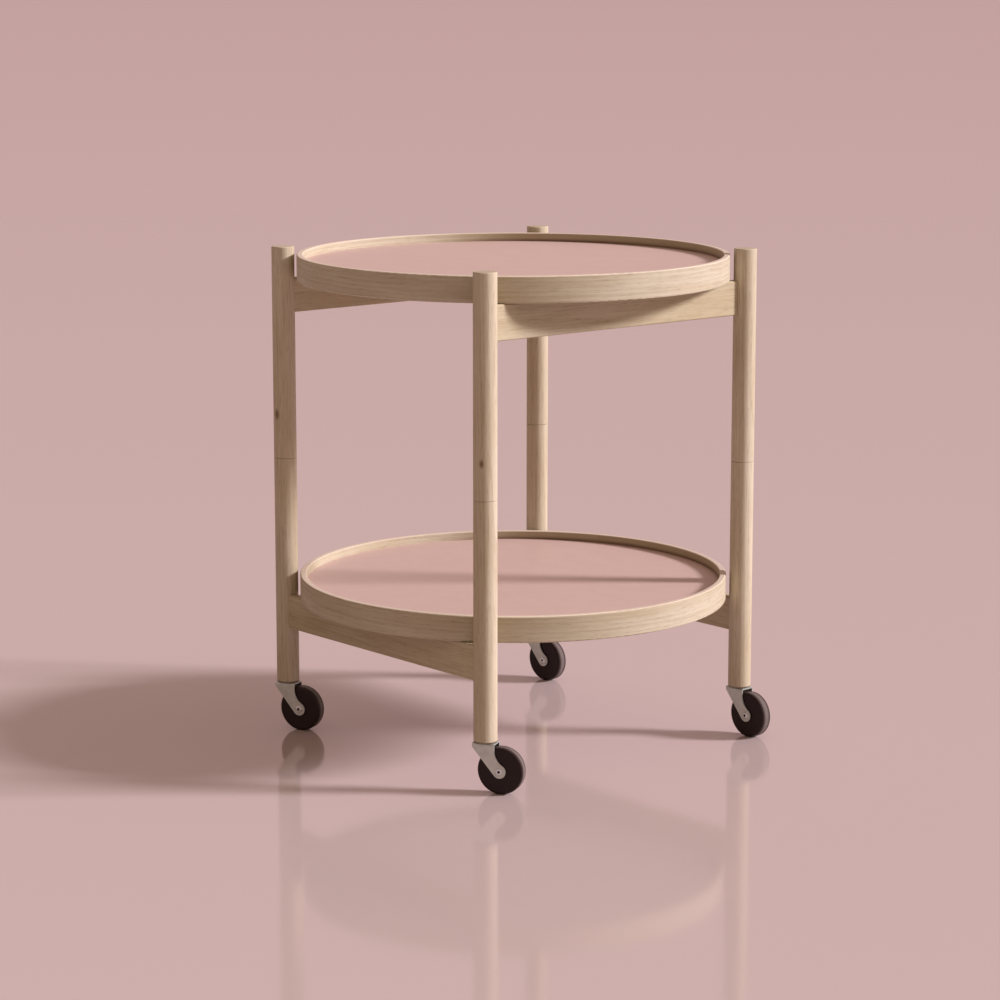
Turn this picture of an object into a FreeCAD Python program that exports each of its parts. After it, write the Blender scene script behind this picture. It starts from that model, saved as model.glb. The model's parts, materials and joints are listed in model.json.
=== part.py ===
import FreeCAD, Part
import math
import os
import Sketcher

# Folding tray table: four split legs, four rails, two loose round trays, four swivel casters.
# Millimetres, +Z up, origin on the floor under the middle of the trays.
# The right rail and legs lie towards +X, the front rail and legs towards -Y.

document = FreeCAD.newDocument("tray_table")
sheet = document.addObject("Spreadsheet::Sheet", "Sizes")

drivingSizes = {
    # Trays: a bent rim with a groove at half height that holds the edge of a laminated panel
    "trayDiameter": 500,
    "rimHeight": 30,
    "rimWall": 7.5,
    "rimEdgeRound": 1.5,
    "grooveDepth": 3,
    "coreThickness": 8.4,
    "laminateThickness": 0.8,
    "panelClearance": 0.1,
    "traySeatGap": 0.2,
    "upperTrayHeight": 538.5,
    "lowerTrayHeight": 164,
    # Legs, split at half height; they stand round the trays at an angle from +X in each quarter
    "legDiameter": 26.5,
    "legTrayGap": 4.2,
    "legAngle": 47,
    "legRise": 6.5,
    "legBottomHeight": 58,
    "legSplitHeight": 327,
    "legSplitGap": 0.3,
    "legTopChamfer": 1,
    "legEndChamfer": 0.3,
    # Pivot pins, fast in the lower halves
    "pinDiameter": 8,
    "pinLength": 60,
    "pinChamfer": 0.6,
    "pinEndRoom": 0.5,
    # Rails, tenoned into the legs
    "railHeight": 40,
    "railThickness": 12.5,
    "railEdgeRound": 2,
    "upperRailSetout": 1.2,
    "lowerRailSetout": 6.2,
    "tenonThickness": 7,
    "tenonHeight": 28,
    "tenonPastAxis": 3,
    "tenonClearance": 0.1,
    # Caster wheels
    "wheelDiameter": 53,
    "wheelWidth": 14,
    "wheelEdgeRound": 3,
    "casterTrail": 19,
    # Caster forks, bent from sheet
    "forkSheet": 1.6,
    "forkSideGap": 0.7,
    "forkBend": 2.6,
    "forkLead": 12.5,
    "forkTail": 13.3,
    "forkLeadShoulder": 4.5,
    "forkTailShoulder": 7,
    "forkEndRadius": 7.6,
    # Wheel axles: hollow rivets in sleeves that space the cheeks
    "axleDiameter": 5,
    "axleHeadDiameter": 8,
    "axleHeadThickness": 1.2,
    "axleHollowDiameter": 3,
    "axleHollowDepth": 4,
    "sleeveDiameter": 8,
    # Caster stems and the sockets they turn in
    "stemDiameter": 8,
    "stemHeadDiameter": 14,
    "stemHeadThickness": 2,
    "stemHeight": 34,
    "stemChamfer": 1.5,
    "stemNeckDiameter": 6.8,
    "stemNeckHeight": 2,
    "stemNeckDrop": 8,
    "socketDiameter": 11,
    "socketEndRoom": 2,
    "socketFlangeDiameter": 20,
    "socketFlangeThickness": 0.8,
    "swivelGap": 0.2,
    # Fits, on the radius
    "runningClearance": 0.05,
    "pressClearance": 0.02,
    # Headings of the four casters, in degrees from +X
    "frontCasterHeading": 30,
    "rightCasterHeading": 2,
    "leftCasterHeading": 24,
    "backCasterHeading": 6,
}

for row, (alias, number) in enumerate(drivingSizes.items(), start=1):
    sheet.set(f"A{row}", alias)
    sheet.set(f"B{row}", str(number))
    sheet.setAlias(f"B{row}", alias)
document.recompute()


# A length with both its present value and the expression that binds it to the sheet
class Size:
    def __init__(self, value, text):
        self.value = value
        self.text = text

    def __add__(self, other):
        other = sizeOf(other)
        return Size(self.value + other.value, f"({self.text} + {other.text})")

    def __sub__(self, other):
        other = sizeOf(other)
        return Size(self.value - other.value, f"({self.text} - {other.text})")

    def __mul__(self, factor):
        factor = sizeOf(factor)
        return Size(self.value * factor.value, f"({self.text} * {factor.text})")

    def __truediv__(self, divisor):
        return Size(self.value / divisor, f"({self.text} / {divisor})")

    def __neg__(self):
        return Size(-self.value, f"(-1 * {self.text})")


def sizeOf(length):
    if isinstance(length, Size):
        return length
    return Size(float(length), str(float(length)))


def driven(alias):
    return Size(float(sheet.get(alias)), f"Sizes.{alias}")


def cosine(angle):
    return Size(math.cos(math.radians(angle.value)), f"cos({angle.text})")


def sine(angle):
    return Size(math.sin(math.radians(angle.value)), f"sin({angle.text})")


def bind(item, path, length):
    item.setExpression(path, sizeOf(length).text)


# A body with its label and its place, turned about the vertical if a heading is given
def newBody(label, place=(0, 0, 0), heading=None):
    body = document.addObject("PartDesign::Body", label)
    body.Label = label
    for axis, length in zip("xyz", place):
        bind(body, f"Placement.Base.{axis}", length)
    if heading is not None:
        body.Placement.Rotation = FreeCAD.Rotation(FreeCAD.Vector(0, 0, 1), sizeOf(heading).value)
        bind(body, "Placement.Rotation.Angle", heading)
    return body


def newSketch(body, plane, name, offset=(0, 0, 0)):
    sketch = body.newObject("Sketcher::SketchObject", f"{body.Name}_{name}")
    support = [item for item in body.Origin.OriginFeatures if item.Role == plane][0]
    sketch.AttachmentSupport = (support, [""])
    sketch.MapMode = "FlatFace"
    for axis, length in zip("xyz", offset):
        bind(sketch, f"AttachmentOffset.Base.{axis}", length)
    return sketch


# Ties one coordinate of a sketch point to its expression, measured from the sketch's origin
def tieCoordinate(sketch, kind, geometry, end, length):
    length = sizeOf(length)
    if length.value >= 0:
        number = sketch.addConstraint(Sketcher.Constraint(kind, -1, 1, geometry, end, length.value))
    else:
        length = -length
        number = sketch.addConstraint(Sketcher.Constraint(kind, geometry, end, -1, 1, length.value))
    bind(sketch, f"Constraints[{number}]", length)


def tiePoint(sketch, geometry, end, corner):
    tieCoordinate(sketch, "DistanceX", geometry, end, corner[0])
    tieCoordinate(sketch, "DistanceY", geometry, end, corner[1])


# Middle of the arc that runs from one corner to the next, counter-clockwise for a positive radius
def arcMiddle(start, end, radius):
    chord = end - start
    side = FreeCAD.Vector(-chord.y, chord.x, 0).normalize() * math.copysign(1, radius)
    rise = math.sqrt(max(radius ** 2 - chord.Length ** 2 / 4, 0))
    return (start + end) / 2 + side * rise


# Closed outline through corners (x, y) or (x, y, radius): a radius makes the next stretch an arc,
# counter-clockwise if turn is 1 and clockwise if it is -1, as in (x, y, radius, turn)
def drawOutline(sketch, corners):
    points = [FreeCAD.Vector(sizeOf(corner[0]).value, sizeOf(corner[1]).value, 0) for corner in corners]
    starts = []
    ends = []
    for index, corner in enumerate(corners):
        start = points[index]
        end = points[(index + 1) % len(points)]
        if len(corner) == 2:
            number = sketch.addGeometry(Part.LineSegment(start, end), False)
            starts.append((number, 1))
            ends.append((number, 2))
            continue
        radius = sizeOf(corner[2])
        turn = corner[3]
        middle = arcMiddle(start, end, radius.value * turn)
        circle = Part.Circle(middle, FreeCAD.Vector(0, 0, 1), radius.value)
        first, last = (start, end) if turn > 0 else (end, start)
        angles = [math.atan2(point.y - middle.y, point.x - middle.x) for point in (first, last)]
        number = sketch.addGeometry(Part.ArcOfCircle(circle, angles[0], angles[1]), False)
        limit = sketch.addConstraint(Sketcher.Constraint("Radius", number, radius.value))
        bind(sketch, f"Constraints[{limit}]", radius)
        starts.append((number, 1 if turn > 0 else 2))
        ends.append((number, 2 if turn > 0 else 1))
    for index, corner in enumerate(corners):
        following = starts[(index + 1) % len(corners)]
        sketch.addConstraint(Sketcher.Constraint("Coincident", *ends[index], *following))
        tiePoint(sketch, *starts[index], corner)


# Four corners of a rectangle with rounded corners, for drawOutline
def roundedRectangle(left, bottom, right, top, radius):
    return [
        (left + radius, bottom),
        (right - radius, bottom, radius, 1),
        (right, bottom + radius),
        (right, top - radius, radius, 1),
        (right - radius, top),
        (left + radius, top, radius, 1),
        (left, top - radius),
        (left, bottom + radius, radius, 1),
    ]


def drawCircle(sketch, middle, radius):
    radius = sizeOf(radius)
    point = FreeCAD.Vector(sizeOf(middle[0]).value, sizeOf(middle[1]).value, 0)
    number = sketch.addGeometry(Part.Circle(point, FreeCAD.Vector(0, 0, 1), radius.value), False)
    limit = sketch.addConstraint(Sketcher.Constraint("Radius", number, radius.value))
    bind(sketch, f"Constraints[{limit}]", radius)
    tiePoint(sketch, number, 3, middle)


# Full turn of an outline about the sketch's upright or level axis
def revolve(body, corners, plane="XZ_Plane", axis="V_Axis", offset=(0, 0, 0)):
    sketch = newSketch(body, plane, "profile", offset)
    drawOutline(sketch, corners)
    turned = body.newObject("PartDesign::Revolution", f"{body.Name}_turned")
    turned.Profile = sketch
    turned.ReferenceAxis = (sketch, [axis])
    turned.Angle = 360
    return turned


def pad(body, sketch, length, name):
    feature = body.newObject("PartDesign::Pad", f"{body.Name}_{name}")
    feature.Profile = sketch
    feature.SideType = "Symmetric"
    bind(feature, "Length", length)
    return feature


def cutThrough(body, sketch, name):
    feature = body.newObject("PartDesign::Pocket", f"{body.Name}_{name}")
    feature.Profile = sketch
    feature.Type = "ThroughAll"
    feature.SideType = "Symmetric"
    return feature


# Box-shaped cut from one corner, given with its three sides
def cutBox(body, corner, sides, name):
    feature = body.newObject("PartDesign::SubtractiveBox", f"{body.Name}_{name}")
    for axis, length in zip("xyz", corner):
        bind(feature, f"AttachmentOffset.Base.{axis}", length)
    support = [item for item in body.Origin.OriginFeatures if item.Role == "XY_Plane"][0]
    feature.AttachmentSupport = (support, [""])
    feature.MapMode = "FlatFace"
    for side, length in zip(("Length", "Width", "Height"), sides):
        bind(feature, side, length)
    return feature


trayRadius = driven("trayDiameter") / 2
rimHeight = driven("rimHeight")
rimInside = trayRadius - driven("rimWall")
rimRound = driven("rimEdgeRound")
grooveFloor = rimInside + driven("grooveDepth")
panelClearance = driven("panelClearance")
coreHalf = driven("coreThickness") / 2
laminateThickness = driven("laminateThickness")

legRadius = driven("legDiameter") / 2
legReach = trayRadius + driven("legTrayGap") + legRadius
legX = legReach * cosine(driven("legAngle"))
legY = legReach * sine(driven("legAngle"))
legTop = driven("upperTrayHeight") + rimHeight + driven("legRise")
legBottom = driven("legBottomHeight")
legSplit = driven("legSplitHeight")
splitHalf = driven("legSplitGap") / 2
endChamfer = driven("legEndChamfer")

pinRadius = driven("pinDiameter") / 2
pinHalf = driven("pinLength") / 2
pinEndRoom = driven("pinEndRoom")
runningClearance = driven("runningClearance")
pressClearance = driven("pressClearance")

railHeight = driven("railHeight")
railThickness = driven("railThickness")
upperRailTop = driven("upperTrayHeight") - driven("traySeatGap")
lowerRailTop = driven("lowerTrayHeight") - driven("traySeatGap")
tenonThickness = driven("tenonThickness")
tenonHeight = driven("tenonHeight")
tenonClearance = driven("tenonClearance")
tenonPastAxis = driven("tenonPastAxis")

wheelRadius = driven("wheelDiameter") / 2
wheelHalf = driven("wheelWidth") / 2
casterTrail = driven("casterTrail")
sleeveRadius = driven("sleeveDiameter") / 2
axleRadius = driven("axleDiameter") / 2
cheekInside = wheelHalf + driven("forkSideGap")
cheekOutside = cheekInside + driven("forkSheet")
forkTop = legBottom - driven("socketFlangeThickness") - driven("swivelGap")
forkUnderside = forkTop - driven("forkSheet")
stemRadius = driven("stemDiameter") / 2
stemTop = forkTop + driven("stemHeight")
socketRadius = driven("socketDiameter") / 2
socketTop = stemTop + driven("socketEndRoom")

# Corner of the plan that each leg stands in, as the signs of its X and Y
legCorners = {"front": (1, -1), "right": (1, 1), "left": (-1, -1), "back": (-1, 1)}


def legPlace(corner, height=0):
    return (legX * corner[0], legY * corner[1], height)


# Distance of a rail's middle plane outside the leg axes
def railMiddle(setout):
    return setout - railThickness / 2


# Mortise in a leg: upper legs take a rail along Y, lower legs one along X
def cutMortise(body, corner, railTop, setout, alongY):
    outward = corner[0] if alongY else corner[1]
    towards = -corner[1] if alongY else -corner[0]
    width = tenonThickness + tenonClearance * 2
    tall = tenonHeight + tenonClearance * 2
    deep = tenonPastAxis + tenonClearance
    reach = legRadius + deep
    low = railTop - railHeight / 2 - tall / 2
    across = railMiddle(setout) * outward - width / 2
    along = -deep if towards > 0 else -legRadius
    if alongY:
        cutBox(body, (across, along, low), (width, reach, tall), "mortise")
    else:
        cutBox(body, (along, across, low), (reach, width, tall), "mortise")


# Upper half of a leg, with the running bore for its pivot pin
def buildUpperLeg(name, corner):
    body = newBody(f"upper_leg_{name}", legPlace(corner))
    topChamfer = driven("legTopChamfer")
    bottom = legSplit + splitHalf
    boreTop = legSplit + pinHalf + pinEndRoom
    boreRadius = pinRadius + runningClearance
    revolve(body, [
        (boreRadius, bottom),
        (legRadius - endChamfer, bottom),
        (legRadius, bottom + endChamfer),
        (legRadius, legTop - topChamfer),
        (legRadius - topChamfer, legTop),
        (0, legTop),
        (0, boreTop),
        (boreRadius, boreTop),
    ])
    cutMortise(body, corner, upperRailTop, driven("upperRailSetout"), True)
    return body


# Lower half of a leg, with the pin's seat at its upper end and the caster socket's at its foot
def buildLowerLeg(name, corner):
    body = newBody(f"lower_leg_{name}", legPlace(corner))
    top = legSplit - splitHalf
    pinSeatBottom = legSplit - pinHalf
    pinSeatRadius = pinRadius + pressClearance
    socketSeat = socketRadius + pressClearance
    revolve(body, [
        (socketSeat, legBottom),
        (legRadius - endChamfer, legBottom),
        (legRadius, legBottom + endChamfer),
        (legRadius, top - endChamfer),
        (legRadius - endChamfer, top),
        (pinSeatRadius, top),
        (pinSeatRadius, pinSeatBottom),
        (0, pinSeatBottom),
        (0, socketTop),
        (socketSeat, socketTop),
    ])
    cutMortise(body, corner, lowerRailTop, driven("lowerRailSetout"), False)
    return body


def buildPivotPin(name, corner):
    body = newBody(f"pivot_pin_{name}", legPlace(corner, legSplit))
    chamfer = driven("pinChamfer")
    revolve(body, [
        (0, -pinHalf),
        (pinRadius - chamfer, -pinHalf),
        (pinRadius, -pinHalf + chamfer),
        (pinRadius, pinHalf - chamfer),
        (pinRadius - chamfer, pinHalf),
        (0, pinHalf),
    ])
    return body


# Rail between two legs: rounded board, ends coped to the round legs, one tenon at each end
def buildRail(name, side, alongY):
    spacing = (legY if alongY else legX) * 2
    setout = driven("upperRailSetout" if alongY else "lowerRailSetout")
    top = upperRailTop if alongY else lowerRailTop
    place = (legX * side, 0, top) if alongY else (0, legY * side, top)
    body = newBody(name, place)
    plane = "XZ_Plane" if alongY else "YZ_Plane"
    faces = (setout * side, (setout - railThickness) * side)
    left, right = faces if side < 0 else (faces[1], faces[0])

    board = newSketch(body, plane, "section")
    drawOutline(board, roundedRectangle(left, -railHeight, right, sizeOf(0), driven("railEdgeRound")))
    pad(body, board, spacing, "board")

    coping = newSketch(body, "XY_Plane", "coping")
    for end in (-1, 1):
        middle = (sizeOf(0), spacing / 2 * end) if alongY else (spacing / 2 * end, sizeOf(0))
        drawCircle(coping, middle, legRadius)
    cutThrough(body, coping, "coped")

    tenon = newSketch(body, plane, "tenon")
    middle = railMiddle(setout) * side
    low = -(railHeight + tenonHeight) / 2
    drawOutline(tenon, [
        (middle - tenonThickness / 2, low),
        (middle + tenonThickness / 2, low),
        (middle + tenonThickness / 2, low + tenonHeight),
        (middle - tenonThickness / 2, low + tenonHeight),
    ])
    pad(body, tenon, spacing + tenonPastAxis * 2, "tenons")
    return body


# Bent-wood rim: an upright band with rounded edges and a groove for the panel
def buildTrayRim(tray, seat):
    body = newBody(f"{tray}_tray_rim", (0, 0, seat))
    middle = rimHeight / 2
    grooveBottom = middle - coreHalf - panelClearance
    grooveTop = middle + coreHalf + panelClearance
    revolve(body, [
        (rimInside + rimRound, 0),
        (trayRadius - rimRound, 0, rimRound, 1),
        (trayRadius, rimRound),
        (trayRadius, rimHeight - rimRound, rimRound, 1),
        (trayRadius - rimRound, rimHeight),
        (rimInside + rimRound, rimHeight, rimRound, 1),
        (rimInside, rimHeight - rimRound),
        (rimInside, grooveTop),
        (grooveFloor, grooveTop),
        (grooveFloor, grooveBottom),
        (rimInside, grooveBottom),
        (rimInside, rimRound, rimRound, 1),
    ])
    return body


# One round layer of the tray's panel
def buildTrayLayer(label, bottom, radius, thickness):
    body = newBody(label, (0, 0, bottom))
    revolve(body, [
        (0, 0),
        (radius, 0),
        (radius, thickness),
        (0, thickness),
    ])
    return body


# The core's edge sits in the rim's groove; the laminates end just inside the rim
def buildTray(tray, seat):
    coreBottom = seat + rimHeight / 2 - coreHalf
    coreTop = coreBottom + coreHalf * 2
    underside = coreBottom - laminateThickness
    coreRadius = grooveFloor - panelClearance
    laminateRadius = rimInside - panelClearance
    return [
        buildTrayRim(tray, seat),
        buildTrayLayer(f"{tray}_tray_core", coreBottom, coreRadius, coreHalf * 2),
        buildTrayLayer(f"{tray}_tray_top_laminate", coreTop, laminateRadius, laminateThickness),
        buildTrayLayer(f"{tray}_tray_underside_laminate", underside, laminateRadius, laminateThickness),
    ]


# Socket pressed into the leg's foot, with a flange under the leg
def buildCasterSocket(name, place):
    body = newBody(f"caster_socket_{name}", place)
    flangeBottom = legBottom - driven("socketFlangeThickness")
    bore = stemRadius + runningClearance
    flangeRadius = driven("socketFlangeDiameter") / 2
    revolve(body, [
        (bore, flangeBottom),
        (flangeRadius, flangeBottom),
        (flangeRadius, legBottom),
        (socketRadius, legBottom),
        (socketRadius, socketTop),
        (bore, socketTop),
    ])
    return body


# Stem: a riveted head under the fork's plate, a necked shank and a chamfered tip
def buildCasterStem(name, place):
    body = newBody(f"caster_stem_{name}", place)
    headRadius = driven("stemHeadDiameter") / 2
    headBottom = forkUnderside - driven("stemHeadThickness")
    neckRadius = driven("stemNeckDiameter") / 2
    neckTop = stemTop - driven("stemNeckDrop")
    neckBottom = neckTop - driven("stemNeckHeight")
    chamfer = driven("stemChamfer")
    revolve(body, [
        (0, headBottom),
        (headRadius, headBottom),
        (headRadius, forkUnderside),
        (stemRadius, forkUnderside),
        (stemRadius, neckBottom),
        (neckRadius, neckBottom),
        (neckRadius, neckTop),
        (stemRadius, neckTop),
        (stemRadius, stemTop - chamfer),
        (stemRadius - chamfer, stemTop),
        (0, stemTop),
    ])
    return body


# Side outline of the fork: level plate, a swept tail edge and a straight lead edge that both run
# tangent into the round end about the axle
def drawForkOutline(sketch):
    lead = -driven("forkLead")
    tail = driven("forkTail")
    leadLow = forkTop - driven("forkLeadShoulder")
    tailLow = forkTop - driven("forkTailShoulder")
    endRadius = driven("forkEndRadius")
    axle = FreeCAD.Vector(casterTrail.value, wheelRadius.value, 0)
    up = FreeCAD.Vector(0, 0, 1)

    # Start values: the tail's sweep touches the upright edge and the round end
    inset = axle.x - tail.value
    rise = tailLow.value - axle.y
    sweep = (inset ** 2 + rise ** 2 - endRadius.value ** 2) / (2 * (inset + endRadius.value))
    sweepMiddle = FreeCAD.Vector(tail.value + sweep, tailLow.value, 0)
    touch = (sweepMiddle - axle).normalize()
    sweepEnd = axle + touch * endRadius.value
    leadCorner = FreeCAD.Vector(lead.value, leadLow.value, 0)
    reach = leadCorner - axle
    leadAngle = math.atan2(reach.y, reach.x) + math.acos(endRadius.value / reach.Length)
    leadTouch = axle + FreeCAD.Vector(math.cos(leadAngle), math.sin(leadAngle), 0) * endRadius.value

    topLead = FreeCAD.Vector(lead.value, forkTop.value, 0)
    topTail = FreeCAD.Vector(tail.value, forkTop.value, 0)
    tailCorner = FreeCAD.Vector(tail.value, tailLow.value, 0)
    sweepCircle = Part.Circle(sweepMiddle, up, sweep)
    endCircle = Part.Circle(axle, up, endRadius.value)
    sweepStop = math.atan2(-touch.y, -touch.x) + 2 * math.pi
    plate = sketch.addGeometry(Part.LineSegment(topLead, topTail), False)
    tailEdge = sketch.addGeometry(Part.LineSegment(topTail, tailCorner), False)
    tailSweep = sketch.addGeometry(Part.ArcOfCircle(sweepCircle, math.pi, sweepStop), False)
    roundEnd = sketch.addGeometry(
        Part.ArcOfCircle(endCircle, leadAngle, math.atan2(touch.y, touch.x) + 2 * math.pi), False)
    slant = sketch.addGeometry(Part.LineSegment(leadTouch, leadCorner), False)
    leadEdge = sketch.addGeometry(Part.LineSegment(leadCorner, topLead), False)

    sketch.addConstraint([
        Sketcher.Constraint("Coincident", plate, 2, tailEdge, 1),
        Sketcher.Constraint("Tangent", tailEdge, 2, tailSweep, 1),
        Sketcher.Constraint("Tangent", tailSweep, 2, roundEnd, 2),
        Sketcher.Constraint("Tangent", roundEnd, 1, slant, 1),
        Sketcher.Constraint("Coincident", slant, 2, leadEdge, 1),
        Sketcher.Constraint("Coincident", leadEdge, 2, plate, 1),
        Sketcher.Constraint("Vertical", tailEdge),
    ])
    tiePoint(sketch, plate, 1, (lead, forkTop))
    tiePoint(sketch, plate, 2, (tail, forkTop))
    tieCoordinate(sketch, "DistanceY", tailEdge, 2, tailLow)
    tiePoint(sketch, slant, 2, (lead, leadLow))
    tiePoint(sketch, roundEnd, 3, (casterTrail, wheelRadius))
    limit = sketch.addConstraint(Sketcher.Constraint("Radius", roundEnd, endRadius.value))
    bind(sketch, f"Constraints[{limit}]", endRadius)


# Names of the straight edges along X at a given side and height, for a fillet
def bendEdges(shape, across, height):
    tolerance = 1e-4
    names = []
    for number, edge in enumerate(shape.Edges, start=1):
        spots = [vertex.Point for vertex in edge.Vertexes]
        level = all(abs(spot.z - height) < tolerance for spot in spots)
        aside = all(abs(abs(spot.y) - across) < tolerance for spot in spots)
        if level and aside and len(spots) == 2 and abs(spots[0].y - spots[1].y) < tolerance:
            names.append(f"Edge{number}")
    return names


def roundBends(body, base, across, height, radius, name):
    document.recompute()
    bend = body.newObject("PartDesign::Fillet", f"{body.Name}_{name}")
    bend.Base = (base, bendEdges(base.Shape, across.value, height.value))
    bind(bend, "Radius", radius)
    return bend


# Fork bent from one sheet: a plate under the leg and two slanting cheeks
def buildCasterFork(name, place, heading):
    body = newBody(f"caster_fork_{name}", place, heading)
    side = newSketch(body, "XZ_Plane", "side")
    drawForkOutline(side)
    blank = pad(body, side, cheekOutside * 2, "blank")
    bent = roundBends(body, blank, cheekOutside, forkTop, driven("forkBend"), "outer_bends")

    channel = newSketch(body, "YZ_Plane", "channel")
    drawOutline(channel, [
        (-cheekInside, 0),
        (cheekInside, 0),
        (cheekInside, forkUnderside),
        (-cheekInside, forkUnderside),
    ])
    hollow = cutThrough(body, channel, "channel_cut")
    insideBend = driven("forkBend") - driven("forkSheet")
    roundBends(body, hollow, cheekInside, forkUnderside, insideBend, "inner_bends")

    stemHole = newSketch(body, "XY_Plane", "stem_hole")
    drawCircle(stemHole, (0, 0), stemRadius + pressClearance)
    cutThrough(body, stemHole, "stem_hole_cut")
    axleHole = newSketch(body, "XZ_Plane", "axle_hole")
    drawCircle(axleHole, (casterTrail, wheelRadius), axleRadius + pressClearance)
    cutThrough(body, axleHole, "axle_hole_cut")
    return body


# Pieces on the axle are turned about a level line through the wheel's middle
def revolveOnAxle(body, corners):
    return revolve(body, corners, "YZ_Plane", "H_Axis", (0, wheelRadius, casterTrail))


# Hollow rivet with a round head outside each cheek
def buildCasterAxle(name, place, heading):
    body = newBody(f"caster_axle_{name}", place, heading)
    headRadius = driven("axleHeadDiameter") / 2
    headThickness = driven("axleHeadThickness")
    face = cheekOutside + headThickness
    hollowRadius = driven("axleHollowDiameter") / 2
    hollowEnd = face - driven("axleHollowDepth")
    revolveOnAxle(body, [
        (-hollowEnd, 0),
        (-hollowEnd, hollowRadius),
        (-face, hollowRadius),
        (-face, headRadius - headThickness, headThickness, -1),
        (-cheekOutside, headRadius),
        (-cheekOutside, axleRadius),
        (cheekOutside, axleRadius),
        (cheekOutside, headRadius, headThickness, -1),
        (face, headRadius - headThickness),
        (face, hollowRadius),
        (hollowEnd, hollowRadius),
        (hollowEnd, 0),
    ])
    return body


# Tube between the cheeks that the wheel turns on
def buildAxleSleeve(name, place, heading):
    body = newBody(f"axle_sleeve_{name}", place, heading)
    half = cheekInside - pressClearance
    bore = axleRadius + pressClearance
    revolveOnAxle(body, [
        (-half, bore),
        (half, bore),
        (half, sleeveRadius),
        (-half, sleeveRadius),
    ])
    return body


# Plain solid wheel with rounded edges
def buildCasterWheel(name, place, heading):
    body = newBody(f"caster_wheel_{name}", place, heading)
    bore = sleeveRadius + runningClearance
    edge = driven("wheelEdgeRound")
    revolveOnAxle(body, [
        (-wheelHalf, bore),
        (wheelHalf, bore),
        (wheelHalf, wheelRadius - edge, edge, 1),
        (wheelHalf - edge, wheelRadius),
        (-wheelHalf + edge, wheelRadius, edge, 1),
        (-wheelHalf, wheelRadius - edge),
    ])
    return body


def buildCaster(name, corner):
    place = legPlace(corner)
    heading = driven(f"{name}CasterHeading")
    return [
        buildCasterSocket(name, place),
        buildCasterStem(name, place),
        buildCasterFork(name, place, heading),
        buildCasterAxle(name, place, heading),
        buildAxleSleeve(name, place, heading),
        buildCasterWheel(name, place, heading),
    ]


pieces = []
for legName, legCorner in legCorners.items():
    pieces.append(buildUpperLeg(legName, legCorner))
    pieces.append(buildLowerLeg(legName, legCorner))
    pieces.append(buildPivotPin(legName, legCorner))
    pieces.extend(buildCaster(legName, legCorner))
pieces.append(buildRail("upper_rail_right", 1, True))
pieces.append(buildRail("upper_rail_left", -1, True))
pieces.append(buildRail("lower_rail_front", -1, False))
pieces.append(buildRail("lower_rail_back", 1, False))
pieces.extend(buildTray("upper", driven("upperTrayHeight")))
pieces.extend(buildTray("lower", driven("lowerTrayHeight")))
document.recompute()

# Every object has to be sound before anything is written
for item in document.Objects:
    if "Invalid" in item.State or "Error" in item.State:
        raise RuntimeError(f"{item.Name} failed: {item.State}")
for piece in pieces:
    if piece.Shape.isNull() or not piece.Shape.isValid() or len(piece.Shape.Solids) != 1:
        raise RuntimeError(f"{piece.Label} is not one sound solid")

os.makedirs("parts", exist_ok=True)
for piece in pieces:
    piece.Shape.exportStep(f"parts/{piece.Label}.step")
print(f"{len(pieces)} pieces written")
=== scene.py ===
import json
import math

import bmesh
import bpy
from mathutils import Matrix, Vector


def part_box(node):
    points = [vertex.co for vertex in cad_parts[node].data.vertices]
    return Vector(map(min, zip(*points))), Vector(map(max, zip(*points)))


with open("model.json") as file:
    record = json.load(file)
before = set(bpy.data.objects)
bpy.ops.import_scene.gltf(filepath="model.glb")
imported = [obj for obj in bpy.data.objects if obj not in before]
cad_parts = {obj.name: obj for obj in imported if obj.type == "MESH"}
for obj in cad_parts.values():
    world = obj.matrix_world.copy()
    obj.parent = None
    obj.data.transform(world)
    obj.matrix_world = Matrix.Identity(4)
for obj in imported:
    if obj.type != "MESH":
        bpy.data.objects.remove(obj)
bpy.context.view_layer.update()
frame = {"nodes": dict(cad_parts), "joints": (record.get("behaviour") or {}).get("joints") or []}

nodes = frame["nodes"]
joints = {joint["name"]: joint for joint in frame["joints"]}
legNames = ("front", "right", "left", "back")
print("frame loaded:", len(nodes), "pieces")


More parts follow.
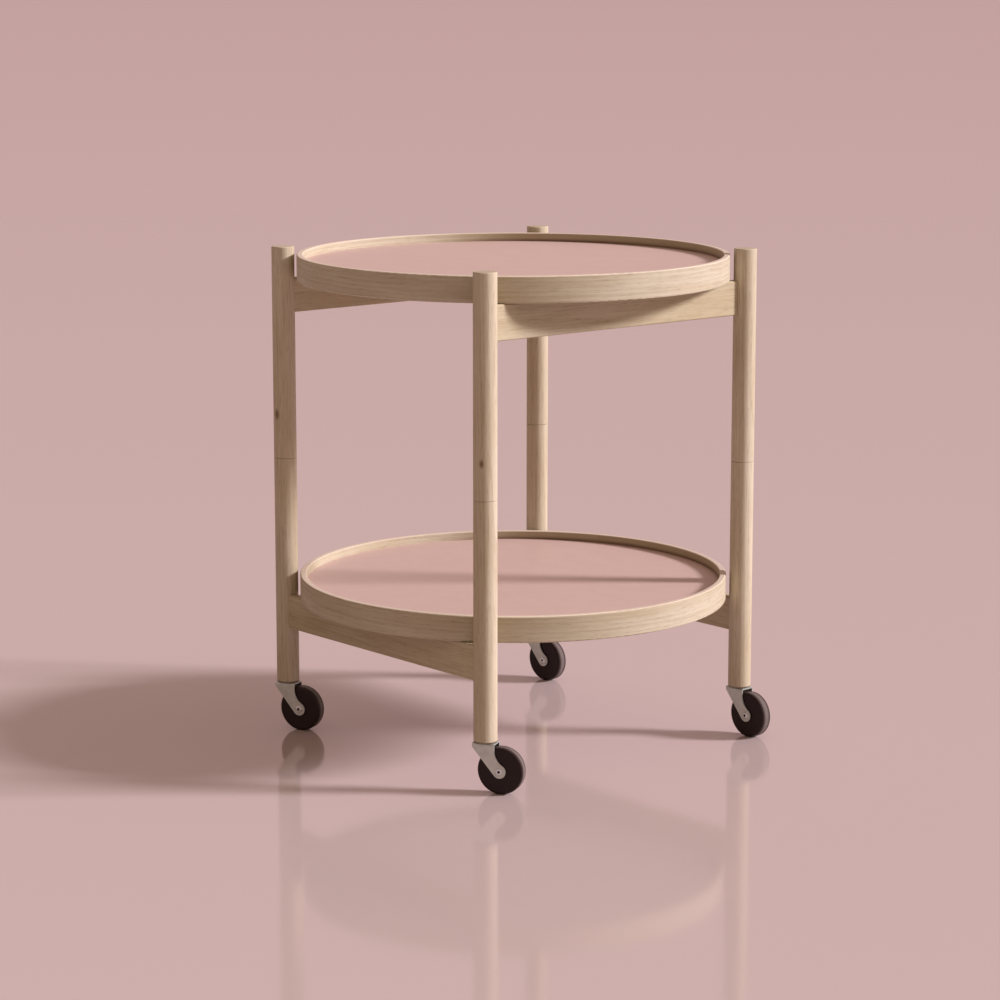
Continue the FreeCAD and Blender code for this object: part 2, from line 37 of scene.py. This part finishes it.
class Wire:  # one node socket; sums on it add Math nodes
    def __init__(self, tree, socket=None):
        self.tree = tree
        self.socket = socket

    def node(self, kind, settings=None, sockets=None, output=0):
        made = self.tree.nodes.new("ShaderNode" + kind)
        for name, value in (settings or {}).items():
            setattr(made, name, value)
        for key, value in (sockets or {}).items():
            if isinstance(value, Wire):
                self.tree.links.new(value.socket, made.inputs[key])
            else:
                made.inputs[key].default_value = value
        return Wire(self.tree, made.outputs[output])

    def math(self, operation, *values):
        return self.node("Math", {"operation": operation}, dict(enumerate(values)))

    def __add__(self, other):
        return self.math("ADD", self, other)

    def __radd__(self, other):
        return self.math("ADD", other, self)

    def __sub__(self, other):
        return self.math("SUBTRACT", self, other)

    def __rsub__(self, other):
        return self.math("SUBTRACT", other, self)

    def __mul__(self, other):
        return self.math("MULTIPLY", self, other)

    def __rmul__(self, other):
        return self.math("MULTIPLY", other, self)

    def __truediv__(self, other):
        return self.math("DIVIDE", self, other)

    def __rtruediv__(self, other):
        return self.math("DIVIDE", other, self)

    def __pow__(self, other):
        return self.math("POWER", self, other)

    def __rpow__(self, other):
        return self.math("POWER", other, self)

    def __abs__(self):
        return self.math("ABSOLUTE", self)

    def split(self):
        parts = self.node("SeparateXYZ", None, {0: self}).socket.node
        return [Wire(self.tree, socket) for socket in parts.outputs]

    def join(self, x, y, z):
        return self.node("CombineXYZ", None, {0: x, 1: y, 2: z})

    def vector(self, operation, other, output=0):
        return self.node("VectorMath", {"operation": operation}, {0: self, 1: other}, output)

    def step(self, low, high):  # soft step from 0 at low to 1 at high
        return self.node("MapRange", {"interpolation_type": "SMOOTHSTEP"},
                         {"Value": self, "From Min": low, "From Max": high})

    def noise(self, stretch, detail, roughness=0.5):  # stretch: lumps per metre each way
        lumps = self.vector("MULTIPLY", stretch)
        return self.node("TexNoise", None, {"Vector": lumps, "Scale": 1.0,
                                            "Detail": detail, "Roughness": roughness})

    def patches(self, stretch, detail, roughness, low, high):  # noise from 0 at low to 1 at high
        return self.noise(stretch, detail, roughness).step(low, high)

    def colour(self, first, second):  # this value mixes first into second
        pair = {0: self}
        for key, value in ((6, first), (7, second)):
            pair[key] = value if isinstance(value, Wire) else (*value, 1.0)
        return self.node("Mix", {"data_type": "RGBA"}, pair, 2)

    def bump(self, depth, strength):  # depth in metres
        return self.node("Bump", None, {"Height": self, "Distance": depth, "Strength": strength})


class Finish:  # a new material, its place in the part's frame and its surface shader
    def __init__(self, name, fixed):
        self.material = bpy.data.materials.new(name)
        self.material.use_nodes = True
        tree = self.material.node_tree
        self.shader = tree.nodes["Principled BSDF"]
        for socket, value in fixed.items():
            self.shader.inputs[socket].default_value = value
        self.place = Wire(tree).node("TexCoord", output="Object")

    def feed(self, **wires):
        for name, wire in wires.items():
            socket = self.shader.inputs[{"baseColour": "Base Color"}.get(name, name.title())]
            wire.tree.links.new(wire.socket, socket)

    def wear(self, *pieces):
        for piece in pieces:
            nodes[piece].data.materials.clear()
            nodes[piece].data.materials.append(self.material)


oak = {
    "pale": (0.608, 0.551, 0.418),
    "honey": (0.536, 0.467, 0.324),
    "ringAndShadeColour": (0.382, 0.299, 0.184),
    "poreColour": (0.215, 0.142, 0.078),
    "ringSpacing": 0.0042,
    "ringWander": 0.0050,
    "ringSharpness": 2.2,
    "ringSpread": 0.7,  # how far one ring's tone may differ from the next
    "ringDepth": 0.38,
    "fibreDepth": 0.55,
    "streakDepth": 0.40,
    "dashDepth": 0.24,
    "poreDepth": 0.55,
    "roughness": {"base": 0.44, "fibre": 0.14, "pores": 0.2},
    "relief": {"fine": 0.35, "fibre": 0.25},
    "poreBump": 0.00008,
    "bumpStrength": 0.6,
    # lumps per metre, detail, and for patches also roughness, low and high
    "wander": ((22, 22, 2.4), 3.0),
    "fine": ((1500, 1500, 26), 2.0),
    "broad": ((30, 30, 5), 2.0, 0.5, 0.32, 0.68),
    "fibre": ((430, 430, 12), 3.0, 0.6, 0.36, 0.74),
    "streak": ((260, 260, 14), 3.0, 0.55, 0.50, 0.78),
    "dash": ((900, 900, 32), 2.0, 0.5, 0.58, 0.70),
    "pores": ((2300, 2300, 70), 1.0, 0.5, 0.60, 0.70),
}


def oakGrain(finish, grain, piece, knotPull=0.0):  # grain: two ways across and one along
    across, aside, along = grain.split()
    wander = grain.noise(*oak["wander"]) - 0.5
    turn = piece["ringTurn"]
    ringPlace = across * math.cos(turn) + aside * math.sin(turn) + along * piece["ringTilt"]
    rings = (ringPlace + wander * oak["ringWander"] + knotPull) / oak["ringSpacing"]
    late = rings.math("FRACT", rings)
    ringCount = rings.math("FLOOR", rings)
    ringTone = rings.node("TexWhiteNoise", {"noise_dimensions": "1D"}, {"W": ringCount})
    spread = oak["ringSpread"]
    ringLine = late ** oak["ringSharpness"] * (ringTone * spread + (1 - spread))
    broad = grain.patches(*oak["broad"])
    fibre = grain.patches(*oak["fibre"])
    streak = grain.patches(*oak["streak"])
    dash = grain.patches(*oak["dash"])
    fine = grain.noise(*oak["fine"])
    pores = grain.patches(*oak["pores"]) * (late * spread + (1 - spread))  # most in late wood
    wood = broad.colour(oak["pale"], oak["honey"])
    wood = (ringLine * oak["ringDepth"]).colour(wood, oak["ringAndShadeColour"])
    wood = (fibre * fine * oak["fibreDepth"]).colour(wood, oak["ringAndShadeColour"])
    wood = (streak * oak["streakDepth"]).colour(wood, oak["ringAndShadeColour"])
    wood = (dash * oak["dashDepth"]).colour(wood, oak["poreColour"])
    wood = (pores * oak["poreDepth"]).colour(wood, oak["poreColour"])
    rough, relief = oak["roughness"], oak["relief"]
    height = fine * relief["fine"] + fibre * relief["fibre"] - pores
    finish.feed(roughness=fibre * rough["fibre"] + pores * rough["pores"] + rough["base"],
                normal=height.bump(oak["poreBump"], oak["bumpStrength"]))
    return wood.vector("MULTIPLY", piece["tone"])


oilFinish = {"IOR": 1.46, "Specular IOR Level": 0.32}
legs = {
    "tone": (1.04, 1.025, 1.03),
    "ringTurn": 0.5,
    "ringTilt": 0.016,
    "endShade": 0.12,
    "endBand": (0.0008, 0.0002),  # how far below the top it starts and is full
    # painted shadow line round the foot of each leg, above the caster plate, in the knot colour
    "footShadowDepth": 0.75,
    "footShadowBand": (0.0007, 0.0014),
    "knotAndShadowColour": (0.205, 0.130, 0.070),
    "knots": (((-0.1803, -0.2087, 0.3792), 0.0040), ((0.1894, -0.2068, 0.3684), 0.0030)),
    "knotStretch": (1.0, 1.0, 0.55),
    "knotEdge": (0.15, 1.30),  # in knot radii, as the reach is
    "knotReach": 4.5,
    "knotPull": 0.0050,
}


def dressLegs():
    finish = Finish("oiled_oak_leg", oilFinish)
    pull = 0.0
    dark = 0.0
    for spot, radius in legs["knots"]:
        away = finish.place.vector("SUBTRACT", spot).vector("MULTIPLY", legs["knotStretch"])
        distance = away.vector("LENGTH", (0, 0, 0), "Value") / radius
        pull = (1 - distance.step(0.0, legs["knotReach"])) * legs["knotPull"] + pull
        dark = (1 - distance.step(*legs["knotEdge"])) + dark
    wood = oakGrain(finish, finish.place, legs, pull)
    wood = dark.colour(wood, legs["knotAndShadowColour"])
    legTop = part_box("upper_leg_front")[1].z
    height = finish.place.split()[2]
    endGrain = height.step(*[legTop - depth for depth in legs["endBand"]])
    wood = (endGrain * legs["endShade"]).colour(wood, oak["ringAndShadeColour"])
    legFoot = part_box("lower_leg_front")[0].z
    # painted shadow: the lowest 1.4 mm of each leg's side darkened, as the shade in the gap above
    # the caster plate
    footShadow = 1 - height.step(*[legFoot + rise for rise in legs["footShadowBand"]])
    finish.feed(baseColour=(footShadow * legs["footShadowDepth"]).colour(wood, legs["knotAndShadowColour"]))
    finish.wear(*[f"{half}_leg_{name}" for name in legNames for half in ("upper", "lower")])


rails = {"tone": (0.99, 0.97, 0.92), "ringTurn": 0.22, "ringTilt": 0.011}


def dressRails():
    for direction, pieces in (("y", ("upper_rail_right", "upper_rail_left")),
                              ("x", ("lower_rail_front", "lower_rail_back"))):
        finish = Finish(f"oiled_oak_rail_{direction}", oilFinish)
        x, y, z = finish.place.split()
        grain = x.join(x, z, y) if direction == "y" else x.join(y, z, x)
        finish.feed(baseColour=oakGrain(finish, grain, rails))
        finish.wear(*pieces)


rims = {
    "tone": (0.965, 0.955, 0.955),
    "ringTurn": 0.9,
    "ringTilt": 0.006,
    "scarfAngle": {"upper": math.radians(296), "lower": math.radians(113.3)},
    "scarfLength": 0.070,
    "glueBand": (0.0002, 0.0004),
    "glueDepth": 0.8,
    "glueAndShadeColour": (0.170, 0.105, 0.062),
    # painted shade on the rim's inner wall, and a darker painted shadow line where it meets the
    # laminate, only round the half turned from the key light
    "innerShadeBand": (0.0006, 0.0012),
    "innerPaintedShade": 0.55,
    "cornerShadeHeight": 0.0050,
    "cornerShadeDepth": 0.85,
    "litHalfTurn": math.radians(227),  # the middle of the half whose inner wall faces the key light and gets no painted shade
    "litHalfBlend": (0.02, 0.50),
    # painted highlight along the top face of the rim
    "topHighlightColour": (0.780, 0.650, 0.540),
    "topHighlightDepth": 0.75,
    "topHighlightBand": (0.0010, 0.00025),
}


def shadedHalf(x, y, radius):  # 1 round the half of a tray nearest the key light, where the inner wall is turned from the light and gets painted shade
    turn = rims["litHalfTurn"]
    towardsLitHalf = (x * math.cos(turn) + y * math.sin(turn)) / radius
    return 1 - towardsLitHalf.step(*rims["litHalfBlend"])


def dressRims():
    for tray, scarfAngle in rims["scarfAngle"].items():
        finish = Finish(f"bent_oak_rim_{tray}", oilFinish)
        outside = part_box(f"{tray}_tray_rim")[1].x
        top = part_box(f"{tray}_tray_rim")[1].z
        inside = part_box(f"{tray}_tray_top_laminate")[1].x
        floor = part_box(f"{tray}_tray_top_laminate")[1].z
        x, y, z = finish.place.split()
        radius = (x * x + y * y) ** 0.5
        lap = (radius - inside) * (rims["scarfLength"] / outside / (outside - inside))
        turn = y.math("WRAP", y.math("ARCTAN2", y, x) - scarfAngle - lap, math.tau, 0.0)
        along = turn * outside
        wood = oakGrain(finish, x.join(radius, z, along), rims)
        fromScarf = along.math("MINIMUM", along, math.tau * outside - along)
        glue = 1 - fromScarf.step(*rims["glueBand"])
        wood = (glue * rims["glueDepth"]).colour(wood, rims["glueAndShadeColour"])
        # painted shade on the inner wall, and a painted shadow line at its foot by the laminate, on
        # the half turned from the key light
        innerShadeMask = 1 - radius.step(*[inside + depth for depth in rims["innerShadeBand"]])
        innerShadeMask = innerShadeMask * shadedHalf(x, y, radius)
        paintedCornerShade = innerShadeMask * (1 - z.step(floor, floor + rims["cornerShadeHeight"]))
        wood = (innerShadeMask * rims["innerPaintedShade"]).colour(wood, oak["ringAndShadeColour"])
        wood = (paintedCornerShade * rims["cornerShadeDepth"]).colour(wood, rims["glueAndShadeColour"])
        edge = z.step(*[top - depth for depth in rims["topHighlightBand"]])  # painted highlight along the top face
        finish.feed(baseColour=(edge * rims["topHighlightDepth"]).colour(wood, rims["topHighlightColour"]))
        finish.wear(f"{tray}_tray_rim")


panels = {
    "laminate": {"top": (0.644, 0.472, 0.420), "underside": (0.665, 0.634, 0.600)},
    "laminateDeep": {"top": (0.627, 0.458, 0.406), "underside": (0.645, 0.614, 0.580)},
    "laminateFixed": {"IOR": 1.48, "Specular IOR Level": 0.38},
    "mottle": ((42, 42, 42), 5.0, 0.62, 0.3, 0.7),
    "speckle": ((2600, 2600, 2600), 2.0),
    "wiped": ((9, 26, 9), 3.0, 0.5, 0.35, 0.75),
    "roughness": {"base": 0.40, "wiped": 0.09, "speckle": 0.08},
    "grainBump": 0.00003,
    # painted shade along the laminate's edge by the rim, round the half of the tray nearest the key
    # light
    "cornerShadeColour": (0.380, 0.235, 0.210),
    "cornerShadeWidth": 0.0035,
    "cornerShadeDepth": 0.5,
    "core": (0.480, 0.350, 0.230),
    "coreDeep": (0.350, 0.240, 0.150),
    "coreFixed": {"Specular IOR Level": 0.3},
    "chips": ((260, 260, 900), 4.0, 0.65, 0.35, 0.65),
    "coreRoughness": {"base": 0.6, "chips": 0.2},
    "chipBump": 0.0001,
    "bumpStrength": 0.5,
}


def dressPanels():
    rough, strength = panels["roughness"], panels["bumpStrength"]
    for side, colour in panels["laminate"].items():
        finish = Finish(f"matt_laminate_{side}", panels["laminateFixed"])
        x, y = finish.place.split()[:2]
        radius = (x * x + y * y) ** 0.5
        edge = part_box(f"upper_tray_{side}_laminate")[1].x
        mottle = finish.place.patches(*panels["mottle"])
        speckle = finish.place.noise(*panels["speckle"])
        wiped = finish.place.patches(*panels["wiped"])
        # painted shade along the edge by the rim, on the half nearest the key light
        paintedCornerShade = radius.step(edge - panels["cornerShadeWidth"], edge) * shadedHalf(x, y, radius)
        plain = mottle.colour(colour, panels["laminateDeep"][side])
        shaded = (paintedCornerShade * panels["cornerShadeDepth"]).colour(plain, panels["cornerShadeColour"])
        finish.feed(baseColour=shaded, normal=speckle.bump(panels["grainBump"], strength),
                    roughness=wiped * rough["wiped"] + speckle * rough["speckle"] + rough["base"])
        finish.wear(f"upper_tray_{side}_laminate", f"lower_tray_{side}_laminate")
    board = Finish("panel_board", panels["coreFixed"])
    chips = board.place.patches(*panels["chips"])
    rough = panels["coreRoughness"]
    board.feed(baseColour=chips.colour(panels["core"], panels["coreDeep"]),
               roughness=chips * rough["chips"] + rough["base"],
               normal=chips.bump(panels["chipBump"], strength))
    board.wear("upper_tray_core", "lower_tray_core")


forks = {
    "zinc": (0.640, 0.695, 0.645),
    "dull": (0.520, 0.560, 0.515),
    "fixed": {"Metallic": 0.55},
    "cloud": ((140, 140, 140), 4.0, 0.6, 0.3, 0.72),
    "rolled": ((700, 700, 5200), 2.0),
    "dullShare": {"cloud": 0.55, "rolled": 0.2},
    "roughness": {"base": 0.30, "cloud": 0.12, "rolled": 0.12, "inside": 0.2},
    "rubDepth": 0.00004,
    "bumpStrength": 0.4,
    "sheet": 0.0016,
    # painted shade on the fork's inner faces, between its cheeks and under its plate
    "insideHalf": 0.0078,
    "insideBlend": 0.0004,
    "insideColour": (0.110, 0.085, 0.075),
    "insidePaintedShade": 0.75,
}


def fromAxle(finish, name):  # how far along a wheel's axle, and how far out from it
    spin = joints[f"{name}_wheel_spin"]
    arm = finish.place.vector("SUBTRACT", tuple(spin["pos_m"]))
    along = arm.vector("DOT_PRODUCT", tuple(spin["axis"]), "Value")
    reach = arm.vector("LENGTH", (0, 0, 0), "Value")
    return along, (reach * reach - along * along) ** 0.5


def dressForks():
    half, blend = forks["insideHalf"], forks["insideBlend"]
    share, rough = forks["dullShare"], forks["roughness"]
    for name in legNames:
        finish = Finish(f"satin_zinc_plate_{name}", forks["fixed"])
        along = fromAxle(finish, name)[0]
        height = finish.place.split()[2]
        cloud = finish.place.patches(*forks["cloud"])
        rolled = finish.place.noise(*forks["rolled"])
        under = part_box(f"caster_fork_{name}")[1].z - forks["sheet"]
        # painted shade on the inner faces of the fork
        inside = 1 - abs(along).step(half, half + blend)
        inside = inside * (1 - height.step(under, under + blend))
        dull = cloud * share["cloud"] + rolled * share["rolled"]
        steel = dull.colour(forks["zinc"], forks["dull"])
        worn = cloud * rough["cloud"] + rolled * rough["rolled"]
        finish.feed(baseColour=(inside * forks["insidePaintedShade"]).colour(steel, forks["insideColour"]),
                    roughness=worn + inside * rough["inside"] + rough["base"],
                    normal=rolled.bump(forks["rubDepth"], forks["bumpStrength"]))
        finish.wear(f"caster_fork_{name}")


pins = {
    "bright": (0.740, 0.800, 0.790),
    "dull": (0.560, 0.605, 0.595),
    "fixed": {"Metallic": 1.0},
    "tool": ((900, 900, 6000), 2.0),
    "toolBand": (0.3, 0.7),
    "roughness": {"base": 0.10, "tool": 0.14},
    "toolDepth": 0.00002,
    "bumpStrength": 0.4,
    # painted shade in the hollow end of each rivet
    "hollowShadeBand": (0.0015, 0.0017),
    "hollowShadeColour": (0.170, 0.145, 0.135),
}


def turnedSteel(finish):
    tool = finish.place.noise(*pins["tool"])
    rough = pins["roughness"]
    finish.feed(roughness=tool * rough["tool"] + rough["base"],
                normal=tool.bump(pins["toolDepth"], pins["bumpStrength"]))
    return tool.step(*pins["toolBand"]).colour(pins["bright"], pins["dull"])


def dressPins():
    turned = Finish("bright_turned_steel", pins["fixed"])
    turned.feed(baseColour=turnedSteel(turned))
    for name in legNames:
        turned.wear(f"pivot_pin_{name}", f"caster_socket_{name}",
                    f"caster_stem_{name}", f"axle_sleeve_{name}")
        rivet = Finish(f"bright_rivet_{name}", pins["fixed"])
        radius = fromAxle(rivet, name)[1]
        # painted shade in the rivet's hollow
        hollowShade = 1 - radius.step(*pins["hollowShadeBand"])
        rivet.feed(baseColour=hollowShade.colour(turnedSteel(rivet), pins["hollowShadeColour"]))
        rivet.wear(f"caster_axle_{name}")


wheels = {
    "rubber": (0.0130, 0.0048, 0.0037),
    "worn": (0.026, 0.0125, 0.0100),
    # pale tread colour: real dust evenly over the tread, plus a painted highlight in a band down
    # its middle
    "dustAndSheen": (0.300, 0.250, 0.232),
    "fixed": {"IOR": 1.5, "Specular IOR Level": 0.28},
    "scuff": ((320, 320, 320), 5.0, 0.65, 0.38, 0.72),
    "wornShare": 0.6,
    "treadBand": (0.0012, 0.0002),
    "dustAndSheenShare": 0.50,
    "sheenBand": (0.0010, 0.0050),
    "dustEven": 0.18,  # the share lying evenly right across the tread, the real dust; the rest is the painted highlight band
    "marks": ((1400, 1400, 1400), 2.0),
    "markHeight": 0.12,
    "seamBand": (0.00025, 0.00050),
    "seamHeight": 0.00010,
    "bumpStrength": 0.5,
    "roughness": {"base": 0.36, "scuff": 0.14, "tread": 0.1},
}


def dressWheels():
    even, rough = wheels["dustEven"], wheels["roughness"]
    for name in legNames:
        finish = Finish(f"dark_rubber_wheel_{name}", wheels["fixed"])
        tyre = (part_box(f"caster_wheel_{name}")[1].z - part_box(f"caster_wheel_{name}")[0].z) / 2
        along, radius = fromAxle(finish, name)
        scuff = finish.place.patches(*wheels["scuff"])
        tread = radius.step(*[tyre - depth for depth in wheels["treadBand"]])
        # painted highlight: a pale band down the middle of the tread
        paintedSheen = 1 - abs(along).step(*wheels["sheenBand"])
        marks = radius.noise(*wheels["marks"])
        seam = 1 - abs(along).step(*wheels["seamBand"])
        rubber = (scuff * wheels["wornShare"]).colour(wheels["rubber"], wheels["worn"])
        # real dust evenly over the tread plus the painted highlight band
        dustAndSheen = tread * (paintedSheen * (1 - even) + even) * wheels["dustAndSheenShare"]
        relief = marks * wheels["markHeight"] + seam * tread
        finish.feed(baseColour=dustAndSheen.colour(rubber, wheels["dustAndSheen"]),
                    roughness=scuff * rough["scuff"] + tread * rough["tread"] + rough["base"],
                    normal=relief.bump(wheels["seamHeight"], wheels["bumpStrength"]))
        finish.wear(f"caster_wheel_{name}")


dressLegs()
dressRails()
dressRims()
dressPanels()
dressForks()
dressPins()
dressWheels()
print("finishes on:", len(bpy.data.materials), "materials")

studio = {
    "floorColour": (0.620, 0.501, 0.486),
    "farColour": (0.496, 0.382, 0.371),
    "fadeStart": 3.0,
    "fadeEnd": 24.0,
    "floorReach": 90.0,
    "floorCorners": 96,
    "floorFixed": {"Roughness": 0.085, "Specular IOR Level": 0.60},
    "fillColour": (0.97, 0.735, 0.565),
    "fillStrength": 0.372,
    "backColour": (0.546, 0.356, 0.347),
    "backStrength": 1.0,
    "keyTurn": math.radians(47),
    "keyHeight": math.radians(24.5),
    "keyColour": (1.0, 0.933, 1.0),
    "lamps": {  # the soft box is the broad glow that gloss shows
        "key_light": {"width": math.radians(10.5), "strength": 4.6, "glossy": False},
        "soft_box": {"width": math.radians(65), "strength": 0.35, "glossy": True},
    },
}


def layFloor():
    mesh = bpy.data.meshes.new("studio_floor")
    shape = bmesh.new()
    bmesh.ops.create_circle(shape, cap_ends=True, segments=studio["floorCorners"],
                            radius=studio["floorReach"])
    shape.to_mesh(mesh)
    shape.free()
    floor = bpy.data.objects.new("studio_floor", mesh)
    bpy.context.scene.collection.objects.link(floor)
    finish = Finish("pale_studio_floor", studio["floorFixed"])
    x, y = finish.place.split()[:2]
    far = ((x * x + y * y) ** 0.5).step(studio["fadeStart"], studio["fadeEnd"])
    finish.feed(baseColour=far.colour(studio["floorColour"], studio["farColour"]))
    mesh.materials.append(finish.material)


def hangLights():
    level = math.cos(studio["keyHeight"])
    towards = Vector((math.cos(studio["keyTurn"]) * level, math.sin(studio["keyTurn"]) * level,
                      math.sin(studio["keyHeight"])))
    for name, settings in studio["lamps"].items():
        light = bpy.data.lights.new(name, "SUN")
        light.energy = settings["strength"]
        light.angle = settings["width"]
        light.color = studio["keyColour"]
        lamp = bpy.data.objects.new(name, light)
        lamp.rotation_mode = "QUATERNION"
        lamp.rotation_quaternion = towards.to_track_quat("Z", "Y")
        lamp.visible_glossy = settings["glossy"]
        bpy.context.scene.collection.objects.link(lamp)


def paintWorld():  # fill light from all round, and the backdrop that camera and gloss see
    world = bpy.data.worlds.new("studio")
    world.use_nodes = True
    bpy.context.scene.world = world
    tree = world.node_tree
    fill, back = [Wire(tree).node("Background", None, {"Color": (*studio[name + "Colour"], 1.0),
                                                       "Strength": studio[name + "Strength"]})
                  for name in ("fill", "back")]
    path = Wire(tree).node("LightPath").socket.node.outputs
    rays = ("Is Camera Ray", "Is Glossy Ray", "Is Transmission Ray")
    seen = sum(Wire(tree, path[ray]) for ray in rays)
    both = seen.node("MixShader", None, {0: seen, 1: fill, 2: back})
    tree.links.new(both.socket, tree.nodes["World Output"].inputs["Surface"])


camera = {
    "turn": math.radians(49.4731),
    "distance": 3.4929,
    "height": 0.9207,
    "pan": math.radians(0.2519),
    "tilt": math.radians(10.4246),
    "focalPixels": 3029.5,
    "framePixels": 1000,
    "sensor": 36.0,
}


def setCamera():
    lens = bpy.data.cameras.new("camera")
    lens.sensor_width = camera["sensor"]
    lens.lens = camera["sensor"] * camera["focalPixels"] / camera["framePixels"]
    lens.clip_end = studio["floorReach"] * 2
    eye = bpy.data.objects.new("camera", lens)
    eye.location = (camera["distance"] * math.sin(camera["turn"]),
                    -camera["distance"] * math.cos(camera["turn"]), camera["height"])
    eye.rotation_euler = (math.pi / 2 - camera["tilt"], 0, camera["turn"] + camera["pan"])
    bpy.context.scene.collection.objects.link(eye)
    bpy.context.scene.camera = eye
    bpy.context.scene.view_settings.view_transform = "Standard"


layFloor()
hangLights()
paintWorld()
setCamera()
print("studio set")
